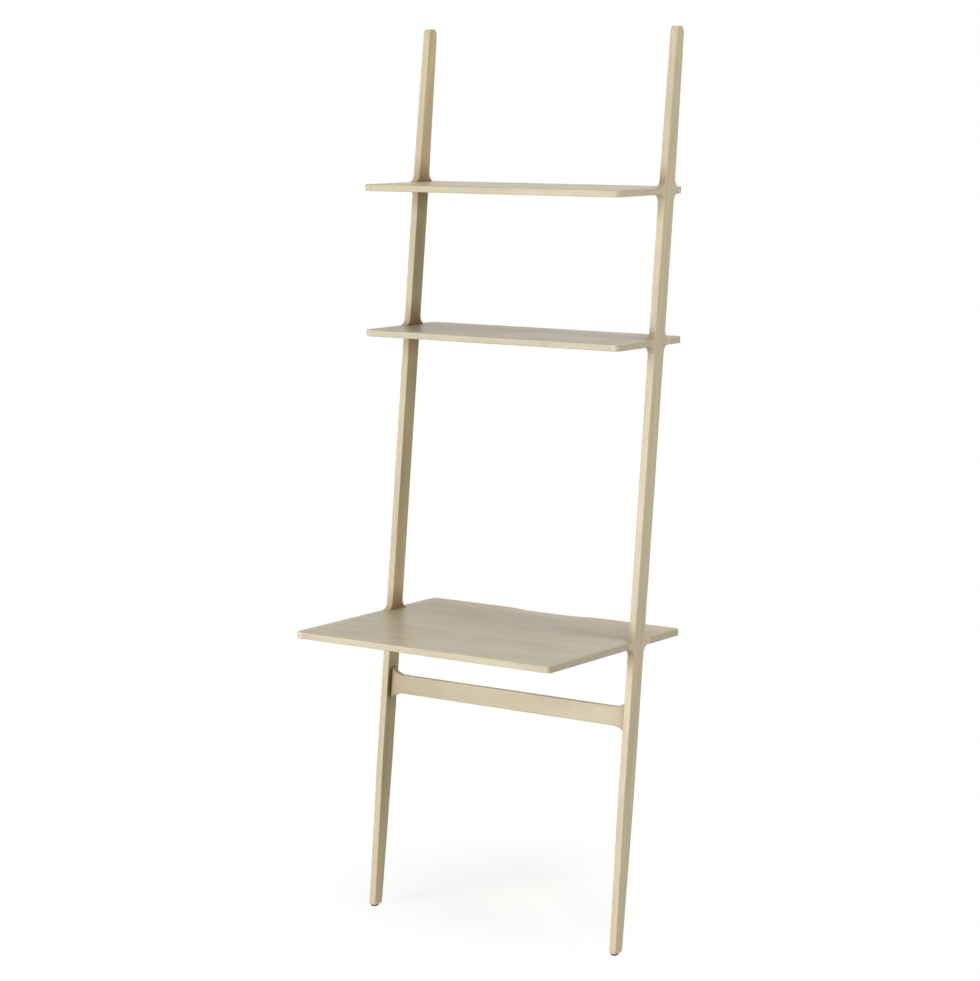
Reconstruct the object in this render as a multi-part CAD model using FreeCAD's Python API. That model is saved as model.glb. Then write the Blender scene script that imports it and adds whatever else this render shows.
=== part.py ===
import FreeCAD, Part
import math
import os
from collections import namedtuple

# Ladder desk that leans on a wall: two tapered uprights, each crossed by three
# horizontal arms, carry a desk top and two shelves between them.  A rail ties
# the uprights together below the desk top.
# Millimetres.  X runs along the width, Y towards the wall, Z up from the floor.

# ---- overall ----
WIDTH = 740.0                # over the outer faces of the uprights
HEIGHT = 2185.0              # floor to the tips of the uprights
LEAN = 6.6                   # degrees that the uprights lean back
TIP_RUN = 15.7               # wall to the middle of each tip
WALL_GAP = 1.0               # wall to the back edges of the boards

# ---- boards and arms ----
BOARD_T = 16.0
DESK_HEIGHT = 748.0          # floor to the working surface
DESK_DEPTH = 560.0
MIDDLE_HEIGHT = 1456.0
MIDDLE_DEPTH = 280.0
TOP_HEIGHT = 1810.0
TOP_DEPTH = 280.0
CORNER_R = 12.0              # outer corners of every arm, seen from above
EDGE_EASE = 1.2              # chamfer along every long edge

# ---- cable recess in the back edge of the desk top ----
RECESS_DEPTH = 15.0
RECESS_FLAT = 100.0          # straight part at full depth
RECESS_EASE = 90.0           # length of each S-shaped end

# ---- uprights ----
UPRIGHT_T = 19.0             # along X
UPRIGHT_DEPTH = 42.0         # along Y, between the tapers
TIP_DEPTH = 31.0             # before the wall facet is taken off
TIP_FRONT_R = 10.0
TIP_BACK_R = 12.0
FOOT_DEPTH = 29.0
FOOT_TAPER = 366.0           # height of the tapered length at the foot
FOOT_R = 3.0                 # rounding of the end of the foot, at the front and the sides
FOOT_BACK_R = 9.0

# ---- crossings of uprights and arms ----
NODE_R = 20.0                # hollow between an upright and an arm
NODE_LAND = 2.0              # flat between that hollow and the seam
LAP_SHARE = 0.5              # share of the thickness that the arm takes in the lap

# ---- cross rail ----
RAIL_TOP = 586.5             # top edge, at the middle of its thickness
RAIL_H = 46.5
RAIL_T = 16.0
RAIL_FLARE_L = 38.0          # each end widens over this length
RAIL_FLARE_H = 17.0          # by this much, above and below

# ---- pads ----
FOOT_PAD_T = 4.0
FOOT_PAD_CORNER = 2.0        # taken off the pad's corners
FOOT_PAD_STEM_R = 2.5
FOOT_PAD_STEM_L = 12.0
WALL_PAD_T = 2.5
WALL_PAD_H = 9.0
WALL_PAD_INSET = 4.0         # from the side faces of the tip to the pad
WALL_PAD_RISE = 1.0          # from the lower end of the wall facet to the pad

# ---- loose tongues ----
TONGUE_T = 5.0
TONGUE_IN_SIDE = 7.0         # depth in an arm or an upright
TONGUE_IN_BOARD = 12.0       # depth in a board or in the rail
TONGUE_END_GAP = 0.5         # left at the bottom of each groove
TONGUE_SLACK = 0.5           # left at both ends of each groove
TONGUE_SETBACK = 22.0        # front or back edge of a board to the nearest tongue
TONGUE_BOLT_GAP = 9.0        # middle of a bolt to the tongues beside it
RAIL_TONGUE_L = 20.0

# ---- cam fittings ----
CAM_R = 7.5
CAM_H = 12.0
CAM_CLEARANCE = 0.1
CAM_SETBACK = 24.0           # end of the board to the middle of the cam
CAM_RECESS = 0.5             # cam below the surface that it is turned from
CAM_FROM_FRONT = 150.0       # front edge of the desk top to the front cams
BOLT_R = 3.0
BOLT_IN_SIDE = 8.0           # within the arm's share of a lap
BOLT_CLEARANCE = 0.3

# ---- wall brackets ----
BRACKET_SPACING = 300.0
BRACKET_W = 20.0
BRACKET_T = 2.0
BRACKET_SHELF_LEG = 30.0
BRACKET_WALL_LEG = 22.0
BRACKET_BEND_R = 3.0
BRACKET_CORNER = 4.0         # taken off the corners of both legs
WALL_HOLE_R = 2.75
WALL_HOLE_DROP = 13.0        # underside of the shelf to the wall screw
SHELF_HOLE_R = 2.25
SHELF_HOLE_RUN = 19.0        # wall to the shelf screw

# ---- worked out ----
WALL_Y = (DESK_DEPTH + WALL_GAP) / 2.0
BOARD_BACK_Y = WALL_Y - WALL_GAP
FACET_Y = WALL_Y - WALL_PAD_T
OUTER_X = WIDTH / 2.0
INNER_X = OUTER_X - UPRIGHT_T
MIDDLE_X = OUTER_X - UPRIGHT_T / 2.0
LAP_X = INNER_X + UPRIGHT_T * LAP_SHARE
SLOPE = math.tan(math.radians(LEAN))
FOOT_Y = WALL_Y - TIP_RUN - SLOPE * HEIGHT
TIP_TAPER = HEIGHT - TOP_HEIGHT + BOARD_T / 2.0
SHARP_CORNER = math.radians(90.0 - LEAN)
NODE_REACH = NODE_R / math.tan(SHARP_CORNER / 2.0) + NODE_LAND
CAM_BORE_R = CAM_R + CAM_CLEARANCE
BOLT_BORE_R = BOLT_R + BOLT_CLEARANCE
BRACKET_Z = MIDDLE_HEIGHT - BOARD_T
ALONG_X = FreeCAD.Vector(1, 0, 0)
ALONG_Y = FreeCAD.Vector(0, 1, 0)
ALONG_Z = FreeCAD.Vector(0, 0, 1)
SAME = 1e-4                  # places closer than this are taken as one

# front_cam: a second cam at each end, nearer to the front
Level = namedtuple("Level", "name height depth front_cam")
DESK = Level("desk", DESK_HEIGHT, DESK_DEPTH, True)
MIDDLE = Level("middle", MIDDLE_HEIGHT, MIDDLE_DEPTH, False)
TOP = Level("top", TOP_HEIGHT, TOP_DEPTH, False)
LEVELS = (DESK, MIDDLE, TOP)

# where a fitting crosses out of a board: a point on the joint and the way out,
# and for a tongue its own direction and length
Seat = namedtuple("Seat", "point outward along length", defaults=(None, 0.0))


def vec(x, y, z):
    """Short form of a point or direction."""
    return FreeCAD.Vector(x, y, z)


def box(x0, x1, y0, y1, z0, z1):
    """Box between two corners given as ranges, whichever way round they are."""
    low = vec(min(x0, x1), min(y0, y1), min(z0, z1))
    return Part.makeBox(abs(x1 - x0), abs(y1 - y0), abs(z1 - z0), low)


def rod(radius, start, direction, length):
    """Cylinder that starts at a point and runs along a direction."""
    return Part.makeCylinder(radius, length, start, direction)


def side_signs():
    """Sign of X on each side of the desk."""
    return {"left": -1.0, "right": 1.0}


def cut_all(shape, tools):
    """Cut a list of shapes away in one step."""
    return shape.cut(Part.makeCompound(tools))


def prism(points, direction):
    """Solid swept from a closed polygon."""
    wire = Part.makePolygon(points + points[:1])
    return Part.Face(wire).extrude(direction)


def face_of(edges):
    """Flat face inside edges given in any order."""
    return Part.Face(Part.Wire(Part.sortEdges(edges)[0]))


def round_edges(shape, radius, wanted):
    """Fillet every edge that the test picks."""
    return shape.makeFillet(radius, [edge for edge in shape.Edges if wanted(edge)])


def ease_edges(shape, size, wanted):
    """Chamfer every edge that the test picks."""
    return shape.makeChamfer(size, [edge for edge in shape.Edges if wanted(edge)])


def is_along(edge, axis):
    """True for a straight edge that is parallel to the axis."""
    if not isinstance(edge.Curve, (Part.Line, Part.LineSegment)):
        return False
    return edge.tangentAt(edge.FirstParameter).cross(axis).Length < SAME


def in_plane(low, high, planes):
    """True where a range from low to high shrinks to one of the planes."""
    return min(abs(low - plane) + abs(high - plane) for plane in planes) < SAME


def centre_y(z):
    """Y of the middle of an upright at a height."""
    return FOOT_Y + SLOPE * z


def level_front_y(level):
    """Y of the front edge of a board and its arms."""
    return BOARD_BACK_Y - level.depth


def level_low_z(level):
    """Underside of a board and its arms."""
    return level.height - BOARD_T


def level_middle_z(level):
    """Middle of a board's thickness."""
    return level.height - BOARD_T / 2.0


def node_span(level):
    """Y of both seams where an upright's stubs meet an arm."""
    front = centre_y(level_low_z(level)) - UPRIGHT_DEPTH / 2.0 - NODE_REACH
    back = centre_y(level.height) + UPRIGHT_DEPTH / 2.0 + NODE_REACH
    return front, back


def place_at_rail(shape):
    """Tilt a shape built about the rail's own middle and put it in place."""
    z = RAIL_TOP - RAIL_H / 2.0
    placed = shape.copy()
    placed.rotate(vec(0, 0, 0), ALONG_X, -LEAN)
    placed.translate(vec(0, centre_y(z), z))
    return placed


# ---- seats of the fittings ----

def cam_rows(level):
    """Y of each cam fitting at one end of a board."""
    rows = [centre_y(level_middle_z(level))]
    if level.front_cam:
        rows.insert(0, level_front_y(level) + CAM_FROM_FRONT)
    return rows


def tongue_spans(level):
    """Start and end of each tongue along one end of a board, between the bolts."""
    rows = cam_rows(level)
    starts = [level_front_y(level) + TONGUE_SETBACK] + [y + TONGUE_BOLT_GAP for y in rows]
    ends = [y - TONGUE_BOLT_GAP for y in rows] + [BOARD_BACK_Y - TONGUE_SETBACK]
    return list(zip(starts, ends))


def level_cams(level):
    """Seats of the cam fittings at one level."""
    z = level_middle_z(level)
    return [
        Seat(vec(sign * INNER_X, y, z), ALONG_X * sign)
        for sign in side_signs().values() for y in cam_rows(level)
    ]


def level_tongues(level):
    """Seats of the tongues at one level."""
    z = level_middle_z(level)
    return [
        Seat(vec(sign * INNER_X, start, z), ALONG_X * sign, ALONG_Y, end - start)
        for sign in side_signs().values() for start, end in tongue_spans(level)
    ]


def rail_cams():
    """Seats of the cam fittings in the rail's own frame."""
    return [Seat(vec(sign * INNER_X, 0, 0), ALONG_X * sign) for sign in side_signs().values()]


def rail_tongues():
    """Seats of the tongues above and below the bolts, in the rail's own frame."""
    starts = (TONGUE_BOLT_GAP, -TONGUE_BOLT_GAP - RAIL_TONGUE_L)
    return [
        Seat(vec(sign * INNER_X, 0, z), ALONG_X * sign, ALONG_Z, RAIL_TONGUE_L)
        for sign in side_signs().values() for z in starts
    ]


def on_side(seats, sign):
    """Those of the seats that belong to one upright's side."""
    return [seat for seat in seats if seat.outward.x == sign]


# ---- fittings and the holes for them ----

def bar(foot, along, length, width, up, height):
    """Bar of rectangular section that stands on the middle of its foot."""
    run = along * length
    across = up.cross(along) * width
    corner = foot - run * 0.5 - across * 0.5
    return prism([corner, corner + run, corner + run + across, corner + across], up * height)


def strip(seat, in_board, in_side, slack):
    """Bar along a tongue's seat, reaching into both pieces."""
    foot = seat.point + seat.along * (seat.length / 2.0) - seat.outward * in_board
    length = seat.length + 2.0 * slack
    return bar(foot, seat.along, length, TONGUE_T, seat.outward, in_board + in_side)


def tongue(seat):
    """Loose tongue across a joint."""
    return strip(seat, TONGUE_IN_BOARD, TONGUE_IN_SIDE, 0.0)


def groove_in_side(seat):
    """Groove for a tongue in an arm or an upright."""
    return strip(seat, 0.0, TONGUE_IN_SIDE + TONGUE_END_GAP, TONGUE_SLACK)


def groove_in_board(seat):
    """Groove for a tongue in a board or in the rail."""
    return strip(seat, TONGUE_IN_BOARD + TONGUE_END_GAP, 0.0, TONGUE_SLACK)


def cam_bolt(seat):
    """Bolt from the side piece to the middle of its cam."""
    start = seat.point - seat.outward * CAM_SETBACK
    return rod(BOLT_R, start, seat.outward, CAM_SETBACK + BOLT_IN_SIDE)


def bolt_hole_in_side(seat):
    """Pilot hole that the bolt's thread fills."""
    return rod(BOLT_R, seat.point, seat.outward, BOLT_IN_SIDE)


def bolt_hole_in_board(seat):
    """Clearance hole from the end of the board to the cam."""
    return rod(BOLT_BORE_R, seat.point, seat.outward * -1.0, CAM_SETBACK)


def cam_mouth(seat, half_t, up):
    """Middle of a cam's bore, on the face that the cam is turned from."""
    return seat.point - seat.outward * CAM_SETBACK - up * half_t


def cam_bore(seat, half_t, up):
    """Blind bore for a cam."""
    return rod(CAM_BORE_R, cam_mouth(seat, half_t, up), up, CAM_H + CAM_RECESS)


def cam(seat, half_t, up):
    """Cam: a disc with a slot that takes the end of the bolt."""
    disc = rod(CAM_R, cam_mouth(seat, half_t, up) + up * CAM_RECESS, up, CAM_H)
    slot_w = 2.0 * BOLT_BORE_R
    slot_foot = seat.point - seat.outward * (CAM_SETBACK - CAM_R / 2.0) - up * BOLT_BORE_R
    return disc.cut(bar(slot_foot, seat.outward, CAM_R + 2.0 * BOLT_CLEARANCE, slot_w, up, slot_w))


# ---- uprights ----

def upright_depth(z):
    """Depth of an upright at a height, between its two tapers."""
    foot_rise = (z - FOOT_PAD_T) / FOOT_TAPER
    tip_drop = (HEIGHT - z) / TIP_TAPER
    foot = FOOT_DEPTH + (UPRIGHT_DEPTH - FOOT_DEPTH) * min(foot_rise, 1.0)
    tip = TIP_DEPTH + (UPRIGHT_DEPTH - TIP_DEPTH) * min(tip_drop, 1.0)
    return min(foot, tip)


def facet_start_z():
    """Height where the back of an upright reaches the wall facet."""
    rate = SLOPE - (UPRIGHT_DEPTH - TIP_DEPTH) / 2.0 / TIP_TAPER
    tip_back = centre_y(HEIGHT) + TIP_DEPTH / 2.0
    return HEIGHT - (tip_back - FACET_Y) / rate


def upright_outline(x):
    """Side view of an upright: straight, tapered at both ends, cut at the wall."""
    heights = [FOOT_PAD_T, FOOT_PAD_T + FOOT_TAPER, HEIGHT - TIP_TAPER, HEIGHT]
    front = [vec(x, centre_y(z) - upright_depth(z) / 2.0, z) for z in heights]
    back = [vec(x, centre_y(z) + upright_depth(z) / 2.0, z) for z in heights[:-1]]
    back += [vec(x, FACET_Y, facet_start_z()), vec(x, FACET_Y, HEIGHT)]
    return front + back[::-1]


def round_nodes(body):
    """Hollow curves between an upright and the stubs at every crossing."""
    planes = [level.height for level in LEVELS] + [level_low_z(level) for level in LEVELS]

    def inside_corner(edge):
        point = edge.CenterOfMass
        offset = abs(point.y - centre_y(point.z)) - upright_depth(point.z) / 2.0
        at_level = in_plane(point.z, point.z, planes)
        return is_along(edge, ALONG_X) and at_level and abs(offset) < SAME

    return round_edges(body, NODE_R, inside_corner)


def round_end(body, radius, z, front):
    """Round one cross edge at the tip or the foot."""
    def wanted(edge):
        point = edge.CenterOfMass
        on_this_side = (point.y < centre_y(point.z)) == front
        return is_along(edge, ALONG_X) and abs(point.z - z) < SAME and on_this_side

    return round_edges(body, radius, wanted)


def ease_sides(body, faces_x):
    """Ease the long edges of both side faces, but not the seams."""
    seams = [y for level in LEVELS for y in node_span(level)]

    def wanted(edge):
        bounds = edge.BoundBox
        at_seam = in_plane(bounds.YMin, bounds.YMax, seams)
        return in_plane(bounds.XMin, bounds.XMax, faces_x) and not at_seam

    return ease_edges(body, EDGE_EASE, wanted)


def foot_flat():
    """Front and back of the flat that the roundings leave on the foot, along Y."""
    middle = centre_y(FOOT_PAD_T)
    return middle - FOOT_DEPTH / 2.0 + FOOT_R, middle + FOOT_DEPTH / 2.0 - FOOT_BACK_R


def foot_side_waste(x, inward):
    """What is taken off at a side face to round the end of the foot."""
    middle = centre_y(FOOT_PAD_T)
    start_y = middle - FOOT_DEPTH / 2.0
    reach = inward * FOOT_R
    inset = FOOT_R * (1.0 - math.sqrt(0.5))
    corner = vec(x, start_y, FOOT_PAD_T)
    high = vec(x, start_y, FOOT_PAD_T + FOOT_R)
    between = vec(x + inward * inset, start_y, FOOT_PAD_T + inset)
    low = vec(x + reach, start_y, FOOT_PAD_T)
    edges = [
        Part.makeLine(corner, high),
        Part.Arc(high, between, low).toShape(),
        Part.makeLine(low, corner),
    ]
    return face_of(edges).extrude(vec(0, FOOT_DEPTH, 0))


def upright_blank(inner, outer):
    """Upright with its stubs and every curve, before laps and holes."""
    body = prism(upright_outline(inner), vec(outer - inner, 0, 0))
    stubs = []
    for level in LEVELS:
        front, back = node_span(level)
        stubs.append(box(inner, outer, front, back, level_low_z(level), level.height))
    body = round_nodes(body.multiFuse(stubs).removeSplitter())
    body = round_end(body, TIP_FRONT_R, HEIGHT, True)
    body = round_end(body, TIP_BACK_R, HEIGHT, False)
    body = round_end(body, FOOT_R, FOOT_PAD_T, True)
    body = round_end(body, FOOT_BACK_R, FOOT_PAD_T, False)
    body = ease_sides(body, (inner, outer))
    inward = math.copysign(1.0, inner - outer)
    return cut_all(body, [foot_side_waste(outer, inward), foot_side_waste(inner, -inward)])


def upright(sign):
    """One upright, with its laps and every hole in it."""
    inner = sign * INNER_X
    tools = []
    for level in LEVELS:
        front, back = node_span(level)
        tools.append(box(inner, sign * LAP_X, front, back, level_low_z(level), level.height))
    tools += [place_at_rail(groove_in_side(seat)) for seat in on_side(rail_tongues(), sign)]
    tools += [place_at_rail(bolt_hole_in_side(seat)) for seat in on_side(rail_cams(), sign)]
    stem_foot = vec(sign * MIDDLE_X, sum(foot_flat()) / 2.0, FOOT_PAD_T)
    tools.append(rod(FOOT_PAD_STEM_R, stem_foot, ALONG_Z, FOOT_PAD_STEM_L))
    return cut_all(upright_blank(inner, sign * OUTER_X), tools)


# ---- arms and boards ----

def ease_rims(body, level, joints_x):
    """Ease the upper and lower rims, except along the joints."""
    faces_z = (level_low_z(level), level.height)

    def wanted(edge):
        bounds = edge.BoundBox
        at_joint = in_plane(bounds.XMin, bounds.XMax, joints_x)
        return in_plane(bounds.ZMin, bounds.ZMax, faces_z) and not at_joint

    return ease_edges(body, EDGE_EASE, wanted)


def arm(level, sign):
    """Solid arm along one end of a board, halved where the upright passes."""
    inner = sign * INNER_X
    outer = sign * OUTER_X
    low = level_low_z(level)
    body = box(inner, outer, level_front_y(level), BOARD_BACK_Y, low, level.height)

    def outer_corner(edge):
        return is_along(edge, ALONG_Z) and abs(edge.CenterOfMass.x - outer) < SAME

    body = round_edges(body, CORNER_R, outer_corner)
    body = ease_rims(body, level, (inner,))
    seam_front, seam_back = node_span(level)
    tools = [box(sign * LAP_X, outer, seam_front, seam_back, low, level.height)]
    tools += [groove_in_side(seat) for seat in on_side(level_tongues(level), sign)]
    tools += [bolt_hole_in_side(seat) for seat in on_side(level_cams(level), sign)]
    return cut_all(body, tools)


def board_blank(level):
    """Plain board between two arms."""
    front_y = level_front_y(level)
    return box(-INNER_X, INNER_X, front_y, BOARD_BACK_Y, level_low_z(level), level.height)


def cable_recess(level):
    """Shallow recess with S-shaped ends, as a shape to cut from a back edge."""
    low = level_low_z(level)
    floor_y = BOARD_BACK_Y - RECESS_DEPTH
    flat_x = RECESS_FLAT / 2.0
    end_x = flat_x + RECESS_EASE
    half_run = RECESS_EASE / 2.0
    rise = RECESS_DEPTH / 2.0
    radius = (half_run ** 2 + rise ** 2) / (2.0 * rise)
    half_sweep = math.asin(half_run / radius) / 2.0
    part_run = radius * math.sin(half_sweep)
    part_rise = radius * (1.0 - math.cos(half_sweep))
    edges = [
        Part.makeLine(vec(-flat_x, floor_y, low), vec(flat_x, floor_y, low)),
        Part.makeLine(vec(-end_x, BOARD_BACK_Y, low), vec(end_x, BOARD_BACK_Y, low)),
    ]
    for sign in side_signs().values():
        near = vec(sign * flat_x, floor_y, low)
        lower = vec(sign * (flat_x + part_run), floor_y + part_rise, low)
        turn = vec(sign * (flat_x + half_run), floor_y + rise, low)
        upper = vec(sign * (end_x - part_run), BOARD_BACK_Y - part_rise, low)
        far = vec(sign * end_x, BOARD_BACK_Y, low)
        edges += [Part.Arc(near, lower, turn).toShape(), Part.Arc(turn, upper, far).toShape()]
    return face_of(edges).extrude(vec(0, 0, BOARD_T))


def finish_board(body, level):
    """Ease the rims and make every groove and hole in a board."""
    body = ease_rims(body, level, (-INNER_X, INNER_X))
    tools = [groove_in_board(seat) for seat in level_tongues(level)]
    for seat in level_cams(level):
        tools += [bolt_hole_in_board(seat), cam_bore(seat, BOARD_T / 2.0, ALONG_Z)]
    return cut_all(body, tools)


def desk_top():
    """Desk top with the cable recess."""
    return finish_board(board_blank(DESK).cut(cable_recess(DESK)), DESK)


def middle_shelf():
    """Middle shelf."""
    return finish_board(board_blank(MIDDLE), MIDDLE)


def top_shelf():
    """Top shelf."""
    return finish_board(board_blank(TOP), TOP)


# ---- cross rail ----

def rail_outline():
    """Front view of the rail: straight, with ends that widen in shallow arcs."""
    front = -RAIL_T / 2.0
    half_h = RAIL_H / 2.0
    end_h = half_h + RAIL_FLARE_H
    start_x = INNER_X - RAIL_FLARE_L
    radius = (RAIL_FLARE_L ** 2 + RAIL_FLARE_H ** 2) / (2.0 * RAIL_FLARE_H)
    half_sweep = math.asin(RAIL_FLARE_L / radius) / 2.0
    mid_x = start_x + radius * math.sin(half_sweep)
    mid_h = half_h + radius * (1.0 - math.cos(half_sweep))
    edges = []
    for up in (-1.0, 1.0):
        left = vec(-start_x, front, up * half_h)
        right = vec(start_x, front, up * half_h)
        edges.append(Part.makeLine(left, right))
    for sign in side_signs().values():
        low_corner = vec(sign * INNER_X, front, -end_h)
        top_corner = vec(sign * INNER_X, front, end_h)
        edges.append(Part.makeLine(low_corner, top_corner))
        for up, corner in ((-1.0, low_corner), (1.0, top_corner)):
            near = vec(sign * start_x, front, up * half_h)
            middle = vec(sign * mid_x, front, up * mid_h)
            edges.append(Part.Arc(near, middle, corner).toShape())
    return face_of(edges)


def cross_rail():
    """Rail between the uprights, leaning with them."""
    body = rail_outline().extrude(vec(0, RAIL_T, 0))
    faces_y = (-RAIL_T / 2.0, RAIL_T / 2.0)

    def long_edge(edge):
        bounds = edge.BoundBox
        at_end = in_plane(bounds.XMin, bounds.XMax, (-INNER_X, INNER_X))
        return in_plane(bounds.YMin, bounds.YMax, faces_y) and not at_end

    body = ease_edges(body, EDGE_EASE, long_edge)
    tools = [groove_in_board(seat) for seat in rail_tongues()]
    for seat in rail_cams():
        tools += [bolt_hole_in_board(seat), cam_bore(seat, RAIL_T / 2.0, ALONG_Y * -1.0)]
    return place_at_rail(cut_all(body, tools))


# ---- pads ----

def foot_pad(sign):
    """Pad with a stem, pressed into the end of the foot."""
    half_x = UPRIGHT_T / 2.0 - FOOT_R
    x = sign * MIDDLE_X
    front, back = foot_flat()
    plate = box(x - half_x, x + half_x, front, back, 0.0, FOOT_PAD_T)
    plate = ease_edges(plate, FOOT_PAD_CORNER, lambda edge: is_along(edge, ALONG_Z))
    stem = rod(FOOT_PAD_STEM_R, vec(x, (front + back) / 2.0, FOOT_PAD_T), ALONG_Z, FOOT_PAD_STEM_L)
    return plate.fuse(stem).removeSplitter()


def wall_pad(sign):
    """Soft pad between the tip of an upright and the wall."""
    inner = sign * (INNER_X + WALL_PAD_INSET)
    outer = sign * (OUTER_X - WALL_PAD_INSET)
    low = facet_start_z() + WALL_PAD_RISE
    return box(inner, outer, FACET_Y, WALL_Y, low, low + WALL_PAD_H)


# ---- wall brackets ----

def bracket_blank(x):
    """Bent steel angle with its corners taken off, before its holes."""
    low_x = x - BRACKET_W / 2.0
    high_x = x + BRACKET_W / 2.0
    far_y = WALL_Y - BRACKET_SHELF_LEG
    far_z = BRACKET_Z - BRACKET_WALL_LEG
    shelf_leg = box(low_x, high_x, far_y, WALL_Y, BRACKET_Z - BRACKET_T, BRACKET_Z)
    wall_leg = box(low_x, high_x, WALL_Y - BRACKET_T, WALL_Y, far_z, BRACKET_Z)
    body = shelf_leg.fuse(wall_leg).removeSplitter()

    def bend(inset):
        def wanted(edge):
            point = edge.CenterOfMass
            away = abs(WALL_Y - inset - point.y) + abs(BRACKET_Z - inset - point.z)
            return is_along(edge, ALONG_X) and away < SAME
        return wanted

    def leg_corner(edge):
        point = edge.CenterOfMass
        at_end = abs(point.y - far_y) < SAME or abs(point.z - far_z) < SAME
        return at_end and not is_along(edge, ALONG_X)

    body = round_edges(body, BRACKET_BEND_R, bend(0.0))
    body = round_edges(body, BRACKET_BEND_R - BRACKET_T, bend(BRACKET_T))
    return ease_edges(body, BRACKET_CORNER, leg_corner)


def wall_bracket(sign):
    """Bracket under the middle shelf, with a hole in each leg."""
    x = sign * BRACKET_SPACING / 2.0
    wall_place = vec(x, WALL_Y, BRACKET_Z - WALL_HOLE_DROP)
    shelf_place = vec(x, WALL_Y - SHELF_HOLE_RUN, BRACKET_Z)
    wall_hole = rod(WALL_HOLE_R, wall_place, ALONG_Y * -1.0, BRACKET_T)
    shelf_hole = rod(SHELF_HOLE_R, shelf_place, ALONG_Z * -1.0, BRACKET_T)
    return cut_all(bracket_blank(x), [wall_hole, shelf_hole])


# ---- the whole desk ----

def level_fittings(level, name):
    """Tongues, bolts and cams of one level, each kind as one node."""
    half_t = BOARD_T / 2.0
    return {
        name + "_tongues": [tongue(seat) for seat in level_tongues(level)],
        name + "_cam_bolts": [cam_bolt(seat) for seat in level_cams(level)],
        name + "_cams": [cam(seat, half_t, ALONG_Z) for seat in level_cams(level)],
    }


def rail_fittings():
    """Tongues, bolts and cams of the cross rail, in its own frame."""
    half_t = RAIL_T / 2.0
    return {
        "rail_tongues": [tongue(seat) for seat in rail_tongues()],
        "rail_cam_bolts": [cam_bolt(seat) for seat in rail_cams()],
        "rail_cams": [cam(seat, half_t, ALONG_Y * -1.0) for seat in rail_cams()],
    }


def build():
    """Every node of the desk, by name."""
    nodes = {
        "desk_top": desk_top(),
        "middle_shelf": middle_shelf(),
        "top_shelf": top_shelf(),
        "cross_rail": cross_rail(),
    }
    for side, sign in side_signs().items():
        nodes[side + "_upright"] = upright(sign)
        for level in LEVELS:
            nodes[side + "_" + level.name + "_arm"] = arm(level, sign)
        nodes[side + "_foot_pad"] = foot_pad(sign)
        nodes[side + "_wall_pad"] = wall_pad(sign)
        nodes[side + "_wall_bracket"] = wall_bracket(sign)
    groups = {}
    for level, name in ((DESK, "desk"), (MIDDLE, "middle_shelf"), (TOP, "top_shelf")):
        groups.update(level_fittings(level, name))
    nodes.update({name: Part.makeCompound(solids) for name, solids in groups.items()})
    for name, solids in rail_fittings().items():
        nodes[name] = place_at_rail(Part.makeCompound(solids))
    return nodes


os.makedirs("parts", exist_ok=True)
for node, shape in build().items():
    shape.exportStep("parts/" + node + ".step")
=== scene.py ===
"""Dress the ladder desk: oak, steel, plastic and rubber finishes, fine fittings, a studio and a camera."""
import logging
import math
from collections.abc import Callable, Iterator, Sequence
from dataclasses import dataclass, field, fields
from enum import Enum
from functools import partial

import bmesh
import bpy
from mathutils import Euler, Matrix, Vector


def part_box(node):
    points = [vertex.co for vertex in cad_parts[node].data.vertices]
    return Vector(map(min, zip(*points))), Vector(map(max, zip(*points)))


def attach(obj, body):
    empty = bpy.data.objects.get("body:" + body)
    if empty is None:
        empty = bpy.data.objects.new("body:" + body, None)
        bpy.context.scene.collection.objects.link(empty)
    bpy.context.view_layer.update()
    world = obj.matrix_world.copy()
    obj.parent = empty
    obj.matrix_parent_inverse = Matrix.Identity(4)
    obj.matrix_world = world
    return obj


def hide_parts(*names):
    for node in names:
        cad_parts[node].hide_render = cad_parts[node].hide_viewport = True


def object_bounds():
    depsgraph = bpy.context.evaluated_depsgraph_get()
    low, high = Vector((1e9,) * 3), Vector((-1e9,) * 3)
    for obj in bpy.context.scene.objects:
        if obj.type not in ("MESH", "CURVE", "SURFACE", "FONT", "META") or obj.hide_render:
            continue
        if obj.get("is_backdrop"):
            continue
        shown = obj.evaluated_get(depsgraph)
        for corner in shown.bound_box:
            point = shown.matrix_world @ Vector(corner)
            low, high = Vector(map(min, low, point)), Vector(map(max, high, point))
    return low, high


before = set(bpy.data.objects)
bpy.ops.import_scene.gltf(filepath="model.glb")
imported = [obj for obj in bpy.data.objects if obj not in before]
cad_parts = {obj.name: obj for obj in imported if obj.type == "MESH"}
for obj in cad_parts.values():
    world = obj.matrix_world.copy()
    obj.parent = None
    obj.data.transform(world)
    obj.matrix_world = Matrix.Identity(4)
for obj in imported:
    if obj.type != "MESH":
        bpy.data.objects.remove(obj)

CAD_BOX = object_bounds()
LOG = logging.getLogger("ladder_desk")

MM = 0.001
BODY = "root"
LEAN_DEGREES = 6.6
NODES: dict[str, bpy.types.Object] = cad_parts

Triple = tuple[float, float, float]
Colour = tuple[float, float, float, float]
Outline = list[tuple[float, float]]
BMesh = bmesh.types.BMesh
Material = bpy.types.Material
Object = bpy.types.Object
Outputs = bpy.types.NodeOutputs
Socket = bpy.types.NodeSocket
Tree = bpy.types.NodeTree

ORIGIN: Triple = (0.0, 0.0, 0.0)
UNCHANGED: Triple = (1.0, 1.0, 1.0)
WHITE: Colour = (1.0, 1.0, 1.0, 1.0)


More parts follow.
